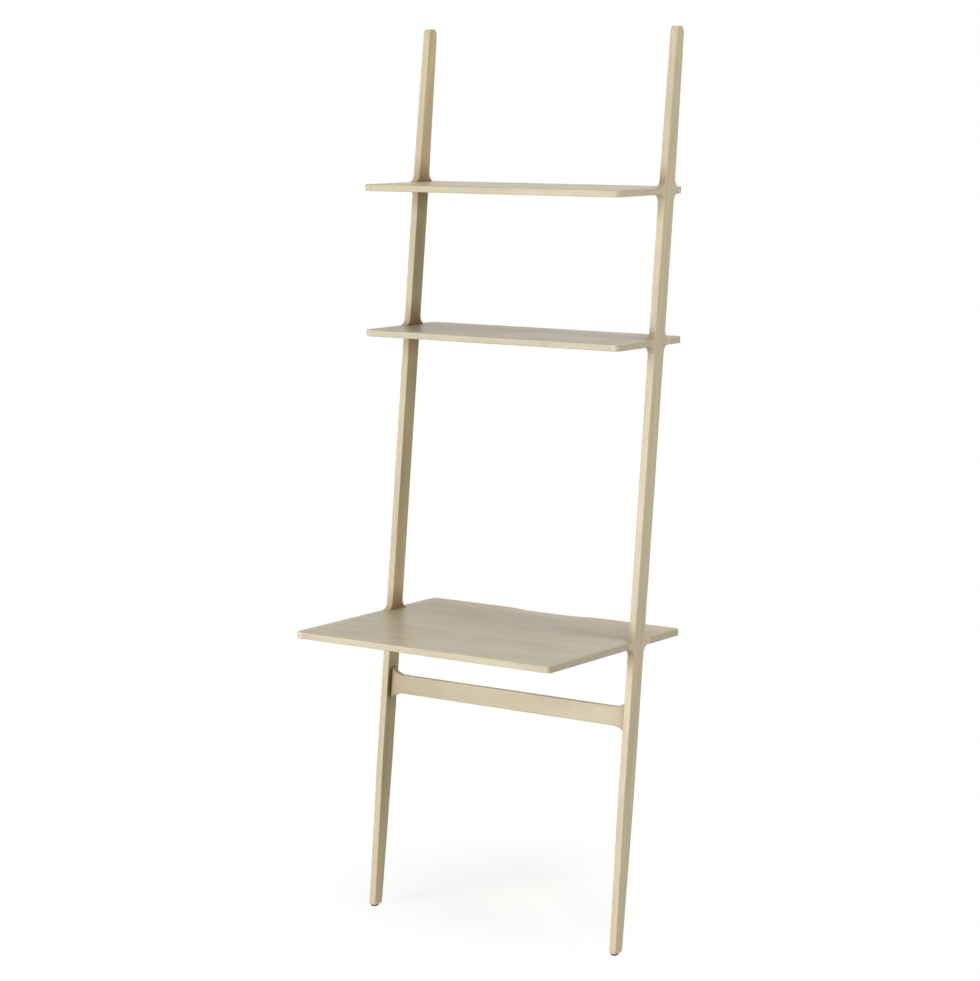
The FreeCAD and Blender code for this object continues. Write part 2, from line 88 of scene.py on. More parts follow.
def from_srgb(red: int, green: int, blue: int) -> Colour:
    """Turn a colour written in 0-255 steps into the linear one that shaders take.

    Args:
        red: red share.
        green: green share.
        blue: blue share.

    Returns:
        The linear colour, with alpha 1.
    """
    def linear(step: int) -> float:
        """Linear value of one share."""
        value = step / 255.0
        return value / 12.92 if value <= 0.04045 else ((value + 0.055) / 1.055) ** 2.4

    return (linear(red), linear(green), linear(blue), 1.0)


# ---- choices ----

class Side(Enum):
    """One of the two ends of the desk."""

    LEFT = "left"
    RIGHT = "right"

    @property
    def outward(self) -> float:
        """Sign of X on the way out of the desk."""
        return 1.0 if self is Side.RIGHT else -1.0


class Level(Enum):
    """What an arm carries: the desk top or one of the shelves."""

    DESK = "desk"
    MIDDLE = "middle"
    TOP = "top"


class Grain(Enum):
    """How a piece is cut: the turn, in degrees, that lays its grain along X."""

    ACROSS = (0.0, 0.0, 0.0)
    FRONT_TO_BACK = (0.0, 0.0, 90.0)
    UP_THE_LEAN = (LEAN_DEGREES, 90.0, 0.0)


# ---- wiring of shader nodes ----

class Wiring:
    """Adds the nodes of one node tree and joins them."""

    def __init__(self, tree: Tree) -> None:
        """Keep the tree."""
        self.tree = tree

    def add(self, kind: str, values: dict[str | int, object] | None = None,
            **settings: object) -> bpy.types.Node:
        """Add a node.

        Args:
            kind: type name of the node.
            values: what goes into its inputs: sockets are joined, the rest is set.
            settings: attributes of the node.

        Returns:
            The new node.
        """
        node = self.tree.nodes.new(kind)
        for name, setting in settings.items():
            setattr(node, name, setting)
        for name, value in (values or {}).items():
            if isinstance(value, Socket):
                self.tree.links.new(value, node.inputs[name])
            else:
                node.inputs[name].default_value = value
        return node

    def group(self, effect: Tree, values: dict[str | int, object] | None = None) -> Outputs:
        """Outputs of a shared effect, placed here with its own values."""
        return self.add("ShaderNodeGroup", values, node_tree=effect).outputs

    def math(self, operation: str, first: object, second: object = 0.0) -> Socket:
        """Result of a sum on one or two values."""
        return self.add("ShaderNodeMath", {0: first, 1: second}, operation=operation).outputs[0]

    def weighted(self, first: Socket, first_share: float, second: Socket, second_share: float) -> Socket:
        """Two values added up by their shares."""
        second_part = self.math("MULTIPLY", second, second_share)
        return self.math("ADD", self.math("MULTIPLY", first, first_share), second_part)

    def vector(self, operation: str, first: object, second: object = ORIGIN) -> Outputs:
        """Results of a sum on one or two vectors: a vector and, last, a number."""
        return self.add("ShaderNodeVectorMath", {0: first, 1: second}, operation=operation).outputs

    def split(self, vector: Socket) -> Outputs:
        """The X, Y and Z of a vector."""
        return self.add("ShaderNodeSeparateXYZ", {0: vector}).outputs

    def join(self, x: Socket, y: Socket, z: Socket) -> Socket:
        """Vector with an X, Y and Z."""
        return self.add("ShaderNodeCombineXYZ", {0: x, 1: y, 2: z}).outputs[0]

    def colour(self, red: Socket, green: Socket, blue: Socket) -> Socket:
        """Colour with a red, green and blue share."""
        return self.add("ShaderNodeCombineColor", {0: red, 1: green, 2: blue}).outputs[0]

    def spread(self, value: object, low: float, high: float,
               to_low: float = 0.0, to_high: float = 1.0) -> Socket:
        """Range of a value, eased from low to high into another range."""
        values = {0: value, 1: low, 2: high, 3: to_low, 4: to_high}
        return self.add("ShaderNodeMapRange", values, interpolation_type="SMOOTHSTEP").outputs[0]

    def blend(self, share: object, first: object, second: object, blend_type: str = "MIX") -> Socket:
        """Mix of two colours, which the node takes at inputs 6 and 7 and gives at output 2."""
        values = {0: share, 6: first, 7: second}
        return self.add("ShaderNodeMix", values, data_type="RGBA", blend_type=blend_type).outputs[2]

    def noise(self, place: Socket, stretch: Triple, detail: float = 2.0, warp: float = 0.0) -> Socket:
        """Noise stretched by a scale for each axis.

        Args:
            place: where the noise is read, in metres.
            stretch: how many features there are to the metre, along each axis.
            detail: finer layers that are added.
            warp: how far the noise distorts itself.

        Returns:
            Values about 0.5.
        """
        scaled = self.vector("MULTIPLY", place, stretch)[0]
        values = {"Vector": scaled, "Scale": 1.0, "Detail": detail, "Distortion": warp}
        return self.add("ShaderNodeTexNoise", values).outputs[0]

    def object_place(self, turn: Triple = ORIGIN, shift: Triple = ORIGIN) -> Socket:
        """Place on the piece in metres, turned and shifted.

        Args:
            turn: degrees about each axis.
            shift: metres along each axis.

        Returns:
            The place as a vector.
        """
        raw = self.add("ShaderNodeTexCoord").outputs["Object"]
        radians = tuple(math.radians(angle) for angle in turn)
        values = {"Vector": raw, "Location": shift, "Rotation": radians}
        return self.add("ShaderNodeMapping", values).outputs[0]

    def bump(self, strength: float, relief: float, height: Socket, normal: Socket | None = None) -> Socket:
        """Normal of a surface with relief.

        Args:
            strength: how strongly the relief shows.
            relief: metres from its lowest to its highest.
            height: the relief, from 0 to 1.
            normal: normal of the surface below it, where that isn't the plain one.

        Returns:
            The normal.
        """
        values = {"Strength": strength, "Distance": relief, "Height": height}
        if normal is not None:
            values["Normal"] = normal
        return self.add("ShaderNodeBump", values).outputs[0]

    def finish(self, values: dict[str, object]) -> None:
        """Add the shader and the material's output."""
        shader = self.add("ShaderNodeBsdfPrincipled", values)
        self.add("ShaderNodeOutputMaterial", {"Surface": shader.outputs[0]})


class Effect(Wiring):
    """A shader node group for several materials, while it is made."""

    def __init__(self, name: str, inputs: dict[str, float | None], outputs: Sequence[str],
                 output_kind: str = "NodeSocketFloat") -> None:
        """Make the group with its inputs and outputs.

        Args:
            name: its name.
            inputs: first value of each input, or None where it takes a vector.
            outputs: names of its outputs.
            output_kind: socket type of the outputs.
        """
        super().__init__(bpy.data.node_groups.new(name, "ShaderNodeTree"))
        sockets = self.tree.interface
        for label, value in inputs.items():
            kind = "NodeSocketVector" if value is None else "NodeSocketFloat"
            socket = sockets.new_socket(label, in_out="INPUT", socket_type=kind)
            if value is not None:
                socket.default_value = value
        for label in outputs:
            sockets.new_socket(label, in_out="OUTPUT", socket_type=output_kind)
        self.given = self.add("NodeGroupInput").outputs
        self.end = self.add("NodeGroupOutput").inputs

    def close(self, **results: Socket) -> Tree:
        """Join the results to the outputs.

        Args:
            results: what each output gives.

        Returns:
            The finished group.
        """
        for label, socket in results.items():
            self.tree.links.new(socket, self.end[label])
        return self.tree


def make_oak_figure() -> Tree:
    """Make the group that draws the figure of oak.

    Its place input has the grain along X, in metres. Rings come from a log whose heart
    lies below the face and wanders along the grain, so that they run out in long arches.

    Returns:
        The group: rings, fibres, pores, clouds and mottle as masks, a chance value for
        each stave, and a height.
    """
    make = Effect(
        "Oak figure",
        {"Place": None, "Ring width": 0.004, "Heart depth": 0.06, "Stave width": 1.0, "Wander": 0.02},
        ("Rings", "Fibres", "Pores", "Cloud", "Mottle", "Stave", "Height"))
    place = make.given["Place"]
    along, across, deep = make.split(place)

    # Each stave comes from another place along the log, with the log's middle under its own.
    index = make.math("FLOOR", make.math("DIVIDE", across, make.given["Stave width"]))
    chance = make.add("ShaderNodeTexWhiteNoise", {"W": index}, noise_dimensions="1D").outputs[0]
    middle = make.math("MULTIPLY", make.math("ADD", index, 0.5), make.given["Stave width"])
    shifted = make.math("ADD", along, make.math("MULTIPLY", chance, 7.0))
    own = make.join(shifted, make.math("SUBTRACT", across, middle), deep)

    # The heart drifts slowly, and a tremble of 3 mm makes the rings uneven.
    drift = make.noise(own, (0.9, 2.0, 2.0), 1.0)
    swing = make.math("MULTIPLY", make.math("SUBTRACT", drift, 0.5), make.given["Wander"])
    ripple = make.noise(own, (9.0, 60.0, 60.0), 2.0)
    tremble = make.math("MULTIPLY", make.math("SUBTRACT", ripple, 0.5), 0.003)
    _, own_across, own_deep = make.split(own)
    off_axis = make.math("ADD", own_across, swing)
    heart = make.math("ADD", own_deep, make.math("ADD", make.given["Heart depth"], swing))
    squares = make.math("ADD", *(make.math("MULTIPLY", part, part) for part in (off_axis, heart)))
    radius = make.math("ADD", make.math("SQRT", squares), tremble)
    # A ring starts sharply with open early wood and fades into late wood.
    turn = make.math("FRACT", make.math("DIVIDE", radius, make.given["Ring width"]))
    rings = make.math("MULTIPLY", make.spread(turn, 0.0, 0.18), make.spread(turn, 0.30, 0.95, 1.0, 0.0))

    fine = make.noise(own, (7.0, 620.0, 620.0), 3.0)
    coarse = make.noise(own, (3.0, 170.0, 170.0), 2.0, 0.3)
    fibres = make.weighted(fine, 0.55, coarse, 0.45)
    # Pores are short dark ticks, most of them in early wood.
    ticks = make.noise(own, (70.0, 1500.0, 1500.0), 1.0)
    pores = make.math("MULTIPLY", make.spread(ticks, 0.56, 0.72), make.spread(rings, 0.15, 0.75, 0.25, 1.0))
    cloud = make.noise(own, (3.6, 23.0, 23.0), 3.0, 0.7)
    mottle = make.noise(place, (2.4, 7.0, 7.0), 2.0, 0.5)

    level = make.weighted(fibres, 0.5, rings, -0.25)
    height = make.math("SUBTRACT", level, make.math("MULTIPLY", pores, 0.6))
    return make.close(
        Rings=rings, Fibres=fibres, Pores=pores, Cloud=cloud, Mottle=mottle, Stave=chance, Height=height)


def make_eased_edges() -> Tree:
    """Make the group that finds eased edges, from a rounded normal.

    Returns:
        The group: 0 on a face and up to 1 on an edge.
    """
    make = Effect("Eased edges", {"Rounded normal": None, "Reach": 0.25}, ("Edge",))
    face = make.add("ShaderNodeNewGeometry").outputs["True Normal"]
    likeness = make.vector("DOT_PRODUCT", face, make.given["Rounded normal"])["Value"]
    share = make.math("DIVIDE", make.math("SUBTRACT", 1.0, likeness), make.given["Reach"])
    return make.close(Edge=make.add("ShaderNodeClamp", {0: share}).outputs[0])


def make_handling() -> Tree:
    """Make the group for faint uneven gloss, as cloths and hands leave it.

    Returns:
        The group: a mask of soft patches and thin streaks.
    """
    make = Effect("Handling", {"Place": None, "Patch size": 0.12}, ("Mask",))
    size = make.given["Patch size"]
    scaled = make.vector("DIVIDE", make.given["Place"], make.join(size, size, size))[0]
    patches = make.noise(scaled, (1.0, 1.0, 1.0), 3.0, 0.4)
    streaks = make.noise(scaled, (3.0, 16.0, 16.0), 2.0)
    return make.close(Mask=make.weighted(patches, 0.7, streaks, 0.3))


def make_corner_shade() -> Tree:
    """Make the group for painted shade: wood colour darkened and warmed in a corner, where light hardly
    reaches.

    No shade is painted near the floor, as the pale floor lights the feet.

    Returns:
        The group: a colour to multiply with, white away from corners.
    """
    make = Effect("Corner shade", {"Reach": 0.07}, ("Shade",), "NodeSocketColor")
    hollow = make.add("ShaderNodeAmbientOcclusion", {"Distance": make.given["Reach"]}, samples=8)
    # The painted shade takes blue most and red least, standing in for the warm light that bounces between
    # oak faces.
    shade = make.colour(*(make.math("POWER", hollow.outputs["AO"], power) for power in (1.5, 1.8, 2.2)))
    height = make.split(make.add("ShaderNodeTexCoord").outputs["Object"])[2]
    return make.close(Shade=make.blend(make.spread(height, 0.05, 0.15), WHITE, shade))


def make_plating() -> Tree:
    """Make the group for zinc plating and die-cast skin.

    Returns:
        The group: cloudy crystals, fine scratches and a height.
    """
    make = Effect("Plating", {"Place": None}, ("Crystals", "Scratches", "Height"))
    place = make.given["Place"]
    cells = make.add("ShaderNodeTexVoronoi", {"Vector": place, "Scale": 900.0}).outputs["Distance"]
    scratches = make.noise(place, (2600.0, 240.0, 900.0), 2.0, 0.3)
    speckle = make.noise(place, (4200.0, 4200.0, 4200.0), 2.0)
    height = make.weighted(scratches, 0.6, speckle, 0.4)
    return make.close(Crystals=cells, Scratches=scratches, Height=height)


def make_moulding() -> Tree:
    """Make the group for the fine spark texture of moulded plastic and rubber.

    Returns:
        The group: a grain mask and a height.
    """
    make = Effect("Moulding", {"Place": None, "Grain size": 0.0004}, ("Grain", "Height"))
    place = make.given["Place"]
    inverse = make.math("DIVIDE", 1.0, make.given["Grain size"])
    fine = make.add("ShaderNodeTexNoise", {"Vector": place, "Scale": inverse, "Detail": 3.0}).outputs[0]
    broad = make.noise(place, (240.0, 240.0, 240.0), 2.0)
    return make.close(Grain=make.weighted(fine, 0.6, broad, 0.4), Height=fine)


@dataclass(frozen=True)
class Effects:
    """The shared node groups, made once."""

    oak: Tree = field(default_factory=make_oak_figure)
    edges: Tree = field(default_factory=make_eased_edges)
    handling: Tree = field(default_factory=make_handling)
    corners: Tree = field(default_factory=make_corner_shade)
    plating: Tree = field(default_factory=make_plating)
    moulding: Tree = field(default_factory=make_moulding)


# ---- finishes ----

def new_material(name: str) -> tuple[Material, Wiring]:
    """Make a material with an empty node tree.

    Args:
        name: its name.

    Returns:
        The material and its wiring.
    """
    material = bpy.data.materials.new(name)
    material.use_nodes = True
    material.node_tree.nodes.clear()
    return material, Wiring(material.node_tree)


@dataclass(frozen=True)
class OakTones:
    """The colours of white-pigmented oak.

    Attributes:
        face: between the rings.
        ring: the rings and the longer fibres.
        cloud: long clouds, redder than the face.
        mottle: broad patches, greener than the face.
        pore: open pores.
        edge: eased edges, paler from sanding wear and a painted highlight.
    """

    face: Colour = from_srgb(221, 208, 177)
    ring: Colour = from_srgb(205, 189, 155)
    cloud: Colour = from_srgb(203, 186, 160)
    mottle: Colour = from_srgb(215, 207, 171)
    pore: Colour = from_srgb(178, 160, 128)
    edge: Colour = from_srgb(228, 218, 192)

    def stained(self, red: float, green: float, blue: float) -> "OakTones":
        """Make all the colours lighter or darker by shares.

        Args:
            red: factor of the red share.
            green: factor of the green share.
            blue: factor of the blue share.

        Returns:
            The new colours.
        """
        def shade(tone: Colour) -> Colour:
            """One colour, changed."""
            return (tone[0] * red, tone[1] * green, tone[2] * blue, 1.0)

        return OakTones(**{part.name: shade(getattr(self, part.name)) for part in fields(self)})


@dataclass(frozen=True)
class PaintedFaceLight:
    """Painted light and shade: a lighter or darker tone on the faces that look one way, as light falls on
    them.

    Attributes:
        towards: the way that the faces look.
        factors: factors of the red, green and blue shares.
    """

    towards: Triple = (0.0, -1.0, 0.0)
    factors: Triple = UNCHANGED

    def applied(self, make: Wiring, colour: Socket) -> Socket:
        """Paint light and shade onto a colour on the faces that it is for.

        Args:
            make: wiring of the material.
            colour: the colour before.

        Returns:
            The colour after.
        """
        face = make.add("ShaderNodeNewGeometry").outputs["True Normal"]
        facing = make.vector("DOT_PRODUCT", face, self.towards)["Value"]
        painted_tone = make.blend(1.0, colour, (*self.factors, 1.0), "MULTIPLY")
        return make.blend(make.spread(facing, 0.5, 0.8), colour, painted_tone)


@dataclass(frozen=True)
class OakFinish:
    """White-pigmented oak under satin lacquer, cut for one piece.

    Attributes:
        name: name of the material.
        grain: direction of the grain.
        shift: where in the timber the piece is cut, in metres.
        tones: its colours.
        ring_width: metres from one ring to the next.
        heart_depth: metres from the middle of the piece to the heart of the log.
        wander: metres that the heart wanders along the grain.
        stave_width: metres across each stave.
        ring_share: how strongly the rings show.
        mottle_share: how strongly the broad patches show.
        cloud_share: how strongly the clouds show.
        fibre_share: how strongly the longer fibres show.
        pore_share: how strongly the pores show.
        edge_wear_and_highlight_share: how strongly the paler edges show, with their sanding wear and
            painted highlight.
        corner_shade_share: how much painted shade darkens it in corners.
        gloss: roughness of the lacquer.
        lacquer: how strongly the lacquer mirrors, where 1 is plain satin.
        face_light: painted light and shade on some of its faces.
        edge_radius: metres of rounding that the edges show.
        relief: metres of relief in the grain.
    """

    name: str
    grain: Grain
    shift: Triple
    tones: OakTones = OakTones()
    ring_width: float = 0.007
    heart_depth: float = 0.05
    wander: float = 0.03
    stave_width: float = 1.0
    ring_share: float = 0.4
    mottle_share: float = 0.25
    cloud_share: float = 0.6
    fibre_share: float = 0.42
    pore_share: float = 0.5
    edge_wear_and_highlight_share: float = 0.5
    corner_shade_share: float = 1.0
    gloss: float = 0.42
    lacquer: float = 1.0
    face_light: PaintedFaceLight = PaintedFaceLight()
    edge_radius: float = 0.0018
    relief: float = 0.00006

    def wood_colour_and_face_light(self, make: Wiring, oak: Outputs) -> Socket:
        """Lay the figure of the timber over the colour of its face, and paint light and shade on some
        faces.

        Args:
            make: wiring of the material.
            oak: outputs of the oak figure.

        Returns:
            The colour away from edges and corners.
        """
        layers = (
            (make.math("MULTIPLY", oak["Rings"], self.ring_share), self.tones.ring),
            (make.spread(oak["Mottle"], 0.42, 0.62, 0.0, self.mottle_share), self.tones.mottle),
            (make.spread(oak["Cloud"], 0.40, 0.66, 0.0, self.cloud_share), self.tones.cloud),
            (make.spread(oak["Fibres"], 0.40, 0.66, 0.0, self.fibre_share), self.tones.ring),
            (make.math("MULTIPLY", oak["Pores"], self.pore_share), self.tones.pore),
        )
        colour = self.tones.face
        for share, tone in layers:
            colour = make.blend(share, colour, tone)
        stave = make.spread(oak["Stave"], 0.0, 1.0, 0.93, 1.04)
        colour = make.blend(1.0, colour, make.colour(stave, stave, stave), "MULTIPLY")
        # Painted light and shade on the faces that look one way.
        return self.face_light.applied(make, colour)

    def material(self, effects: Effects) -> Material:
        """Make the material.

        Args:
            effects: the shared node groups.

        Returns:
            The material.
        """
        material, make = new_material(self.name)
        place = make.object_place(self.grain.value, self.shift)
        oak = make.group(effects.oak, {
            "Place": place, "Ring width": self.ring_width, "Heart depth": self.heart_depth,
            "Stave width": self.stave_width, "Wander": self.wander})
        rounded = make.add("ShaderNodeBevel", {"Radius": self.edge_radius}, samples=4).outputs[0]
        edge = make.group(effects.edges, {"Rounded normal": rounded})["Edge"]
        corner = make.group(effects.corners)["Shade"]
        handling = make.group(effects.handling, {"Place": place})["Mask"]

        colour = self.wood_colour_and_face_light(make, oak)
        # Paler eased edges: sanding wear and a painted highlight along them.
        colour = make.blend(make.math("MULTIPLY", edge, self.edge_wear_and_highlight_share), colour, self.tones.edge)
        # Painted shade: the colour darker and warmer in corners.
        colour = make.blend(self.corner_shade_share, colour, corner, "MULTIPLY")
        rough = make.spread(handling, 0.3, 0.7, self.gloss - 0.05, self.gloss + 0.06)
        rough = make.math("ADD", rough, make.math("MULTIPLY", oak["Pores"], 0.12))
        normal = make.bump(0.6, self.relief, oak["Height"], rounded)
        make.finish({
            "Base Color": colour, "Roughness": rough, "Normal": normal, "IOR": 1.5,
            "Specular IOR Level": 0.5 * self.lacquer, "Coat Weight": 0.25 * self.lacquer,
            "Coat Roughness": 0.3, "Coat IOR": 1.45})
        return material


@dataclass(frozen=True)
class PlatedMetal:
    """Zinc-plated steel or a zinc casting.

    Attributes:
        name: name of the material.
        light: colour in the middle of its crystals.
        dark: colour between them.
        gloss: roughness.
        relief: metres of relief.
    """

    name: str
    light: Colour
    dark: Colour
    gloss: float
    relief: float = 0.00002

    def material(self, effects: Effects) -> Material:
        """Make the material.

        Args:
            effects: the shared node groups.

        Returns:
            The material.
        """
        material, make = new_material(self.name)
        plating = make.group(effects.plating, {"Place": make.object_place()})
        colour = make.blend(make.spread(plating["Crystals"], 0.1, 0.7), self.light, self.dark)
        rough = make.spread(plating["Scratches"], 0.3, 0.7, self.gloss - 0.08, self.gloss + 0.12)
        normal = make.bump(0.5, self.relief, plating["Height"])
        make.finish({"Base Color": colour, "Roughness": rough, "Metallic": 1.0, "Normal": normal})
        return material


@dataclass(frozen=True)
class Moulded:
    """Moulded plastic or rubber with a fine spark texture.

    Attributes:
        name: name of the material.
        light: colour on its grains.
        dark: colour between them.
        gloss: roughness.
        grain: metres across a grain.
        relief: metres of relief.
    """

    name: str
    light: Colour
    dark: Colour
    gloss: float
    grain: float = 0.0004
    relief: float = 0.00004

    def material(self, effects: Effects) -> Material:
        """Make the material.

        Args:
            effects: the shared node groups.

        Returns:
            The material.
        """
        material, make = new_material(self.name)
        moulding = make.group(effects.moulding, {"Place": make.object_place(), "Grain size": self.grain})
        colour = make.blend(make.spread(moulding["Grain"], 0.35, 0.65), self.dark, self.light)
        rough = make.spread(moulding["Grain"], 0.3, 0.7, self.gloss - 0.08, self.gloss + 0.08)
        normal = make.bump(0.6, self.relief, moulding["Height"])
        make.finish({"Base Color": colour, "Roughness": rough, "Normal": normal, "IOR": 1.48})
        return material


@dataclass(frozen=True)
class LayeredWood:
    """Thin birch layers, seen on the edges of plywood.

    Attributes:
        name: name of the material.
        layer: metres of thickness of one layer.
        light: colour of the layers that show their side.
        dark: colour of the layers that show their ends.
        relief: metres of relief.
    """

    name: str
    layer: float = 0.0012
    light: Colour = from_srgb(214, 184, 140)
    dark: Colour = from_srgb(176, 138, 96)
    relief: float = 0.0001

    def material(self, effects: Effects) -> Material:
        """Make the material.

        Args:
            effects: the shared node groups.

        Returns:
            The material.
        """
        material, make = new_material(self.name)
        place = make.object_place()
        turn = make.math("FRACT", make.math("DIVIDE", make.split(place)[2], self.layer * 2.0))
        layers = make.math("MULTIPLY", make.spread(turn, 0.42, 0.5), make.spread(turn, 0.92, 1.0, 1.0, 0.0))
        moulding = make.group(effects.moulding, {"Place": place})
        colour = make.blend(layers, self.light, self.dark)
        colour = make.blend(make.spread(moulding["Grain"], 0.4, 0.7, 0.0, 0.4), colour, self.dark)
        rough = make.spread(moulding["Grain"], 0.3, 0.7, 0.6, 0.75)
        normal = make.bump(0.5, self.relief, moulding["Height"])
        make.finish({"Base Color": colour, "Roughness": rough, "Normal": normal})
        return material


def dress(node: str, material: Material) -> None:
    """Give a CAD node a material in place of its own.

    Args:
        node: name of the node.
        material: its new material.
    """
    slots = NODES[node].data.materials
    slots.clear()
    slots.append(material)
    LOG.info("dressed %s in %s", node, material.name)


# ---- shapes ----

def rounded_rectangle(half_x: float, half_y: float, radius: float, steps: int = 6) -> Outline:
    """Outline of a rectangle with round corners.

    Args:
        half_x: half of its width.
        half_y: half of its depth.
        radius: radius of the corners.
        steps: edges along each corner.

    Returns:
        Points in order, anticlockwise.
    """
    points = []
    corners = ((1.0, 1.0, 0.0), (-1.0, 1.0, 90.0), (-1.0, -1.0, 180.0), (1.0, -1.0, 270.0))
    for sign_x, sign_y, first in corners:
        middle = (sign_x * (half_x - radius), sign_y * (half_y - radius))
        for step in range(steps + 1):
            angle = math.radians(first + 90.0 * step / steps)
            points.append((middle[0] + radius * math.cos(angle), middle[1] + radius * math.sin(angle)))
    return points


def cross(reach: float, half: float) -> Outline:
    """Outline of a cross.

    Args:
        reach: from the middle to the end of an arm.
        half: half of the width of an arm.

    Returns:
        Points in order, anticlockwise.
    """
    points = []
    for turn in range(4):
        cos, sin = round(math.cos(turn * math.pi / 2.0)), round(math.sin(turn * math.pi / 2.0))
        points += [(x * cos - y * sin, x * sin + y * cos)
                   for x, y in ((reach, -half), (reach, half), (half, half))]
    return points


def raised(outline: Outline, height: float, place: Matrix) -> list[Vector]:
    """Points of an outline at a height above a place."""
    return [place @ Vector((x, y, height)) for x, y in outline]


def circle(radii: Callable[[float], float], height: float, place: Matrix, segments: int) -> list[Vector]:
    """Points about the axis Z of a place.

    Args:
        radii: radius at an angle.
        height: distance along the axis.
        place: where the axis lies.
        segments: how many points there are.

    Returns:
        Points in order, anticlockwise.
    """
    angles = [2.0 * math.pi * step / segments for step in range(segments)]
    outline = [(radii(angle) * math.cos(angle), radii(angle) * math.sin(angle)) for angle in angles]
    return raised(outline, height, place)


def join_rows(bm: BMesh, low: list[bmesh.types.BMVert], high: list[bmesh.types.BMVert]) -> None:
    """Join two closed rows of equally many vertices with faces.

    Args:
        bm: mesh that takes the faces.
        low: the first row.
        high: the second row.
    """
    for here in range(len(low)):
        after = (here + 1) % len(low)
        bm.faces.new((low[here], low[after], high[after], high[here]))


def skin(bm: BMesh, loops: Sequence[Sequence[Vector]]) -> None:
    """Cover loops of equally many points with faces, and cap both ends.

    Args:
        bm: mesh that takes the faces.
        loops: loops of points, in order.
    """
    rows = [[bm.verts.new(point) for point in loop] for loop in loops]
    for low, high in zip(rows, rows[1:]):
        join_rows(bm, low, high)
    bm.faces.new(list(reversed(rows[0])))
    bm.faces.new(rows[-1])


@dataclass(frozen=True)
class TurnedRod:
    """A turned or threaded rod about the axis Z.

    Attributes:
        radius_at: radius at a distance along the rod and an angle about it.
        length: its length.
        gap: length over which it takes one more loop.
        segments: edges round it.
    """

    radius_at: Callable[[float, float], float]
    length: float
    gap: float
    segments: int = 28

    def add(self, bm: BMesh, place: Matrix) -> None:
        """Cover the rod with faces.

        Args:
            bm: mesh that takes the faces.
            place: where the rod stands.
        """
        count = int(self.length / self.gap)
        loops = []
        for step in range(count + 1):
            station = self.length * step / count
            radii = partial(self.radius_at, station)
            loops.append(circle(radii, station, place, self.segments))
        skin(bm, loops)


def thread_height(station: float, angle: float, pitch: float, steepness: float) -> float:
    """Height of a right-handed thread.

    Args:
        station: distance along it.
        angle: angle about it.
        pitch: distance from one turn to the next.
        steepness: how steep its flanks are; at 2 they fill the whole pitch.

    Returns:
        From 0 in the root to 1 on the crest.
    """
    turn = (station / pitch - angle / (2.0 * math.pi)) % 1.0
    return max(0.0, 1.0 - abs(turn - 0.5) * steepness)


# ---- pieces ----

def mesh_from(bm: BMesh, name: str) -> bpy.types.Mesh:
    """Turn a finished shape into a mesh.

    Args:
        bm: the shape, which is freed.
        name: name of the mesh.

    Returns:
        The mesh.
    """
    mesh = bpy.data.meshes.new(name)
    bm.to_mesh(mesh)
    bm.free()
    return mesh


def new_object(name: str, data: bpy.types.ID) -> Object:
    """Put an object into the scene.

    Args:
        name: its name.
        data: its mesh, lamp or camera.

    Returns:
        The object.
    """
    thing = bpy.data.objects.new(name, data)
    bpy.context.scene.collection.objects.link(thing)
    return thing


def soften(mesh: bpy.types.Mesh, crease: float = 35.0) -> None:
    """Shade a mesh smooth, apart from its sharp edges.

    Args:
        mesh: the mesh.
        crease: degrees from which an edge is sharp.
    """
    for face in mesh.polygons:
        face.use_smooth = True
    mesh.set_sharp_from_angle(angle=math.radians(crease))


def piece_from(bm: BMesh, name: str, material: Material, replaced: Sequence[str] = ()) -> Object:
    """Turn a finished shape into a piece that rides on the desk.

    Args:
        bm: the shape, which is freed.
        name: name of the piece.
        material: its material.
        replaced: CAD nodes that it stands for.

    Returns:
        The piece.
    """
    bmesh.ops.recalc_face_normals(bm, faces=bm.faces)
    mesh = mesh_from(bm, name)
    mesh.materials.append(material)
    soften(mesh)
    piece = new_object(name, mesh)
    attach(piece, BODY)
    if replaced:
        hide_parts(*replaced)
    LOG.info("built %s with %d faces", name, len(mesh.polygons))
    return piece


def carve(piece: Object, shape: BMesh) -> None:
    """Take a shape out of a piece.

    Args:
        piece: the piece.
        shape: the shape, which is freed.
    """
    bmesh.ops.recalc_face_normals(shape, faces=shape.faces)
    cutter = new_object("cutter", mesh_from(shape, "cutter"))
    modifier = piece.modifiers.new("Cross recess", "BOOLEAN")
    modifier.operation = "DIFFERENCE"
    modifier.solver = "EXACT"
    modifier.object = cutter
    graph = bpy.context.evaluated_depsgraph_get()
    carved = bpy.data.meshes.new_from_object(piece.evaluated_get(graph))
    piece.modifiers.clear()
    piece.data = carved
    bpy.data.objects.remove(cutter)


@dataclass(frozen=True)
class Island:
    """Box of one separate solid in a CAD node."""

    low: Vector
    high: Vector

    @property
    def middle(self) -> Vector:
        """Middle of the box."""
        return (self.low + self.high) / 2.0

    @property
    def outward(self) -> float:
        """Sign of X on the way out of the desk."""
        return math.copysign(1.0, self.middle.x)


def islands(node: str) -> list[Island]:
    """Find the separate solids of a CAD node.

    Args:
        node: name of the node.

    Returns:
        Their boxes, sorted by place.
    """
    bm = bmesh.new()
    bm.from_mesh(NODES[node].data)
    bmesh.ops.remove_doubles(bm, verts=bm.verts, dist=0.01 * MM)
    found, seen = [], set()
    for seed in bm.verts:
        if seed in seen:
            continue
        stack, members = [seed], []
        seen.add(seed)
        while stack:
            vert = stack.pop()
            members.append(vert.co)
            for edge in vert.link_edges:
                other = edge.other_vert(vert)
                if other not in seen:
                    seen.add(other)
                    stack.append(other)
        low = Vector(tuple(min(co[axis] for co in members) for axis in range(3)))
        high = Vector(tuple(max(co[axis] for co in members) for axis in range(3)))
        found.append(Island(low, high))
    bm.free()
    return sorted(found, key=lambda island: tuple(round(share, 4) for share in island.middle))


# ---- the desk ----

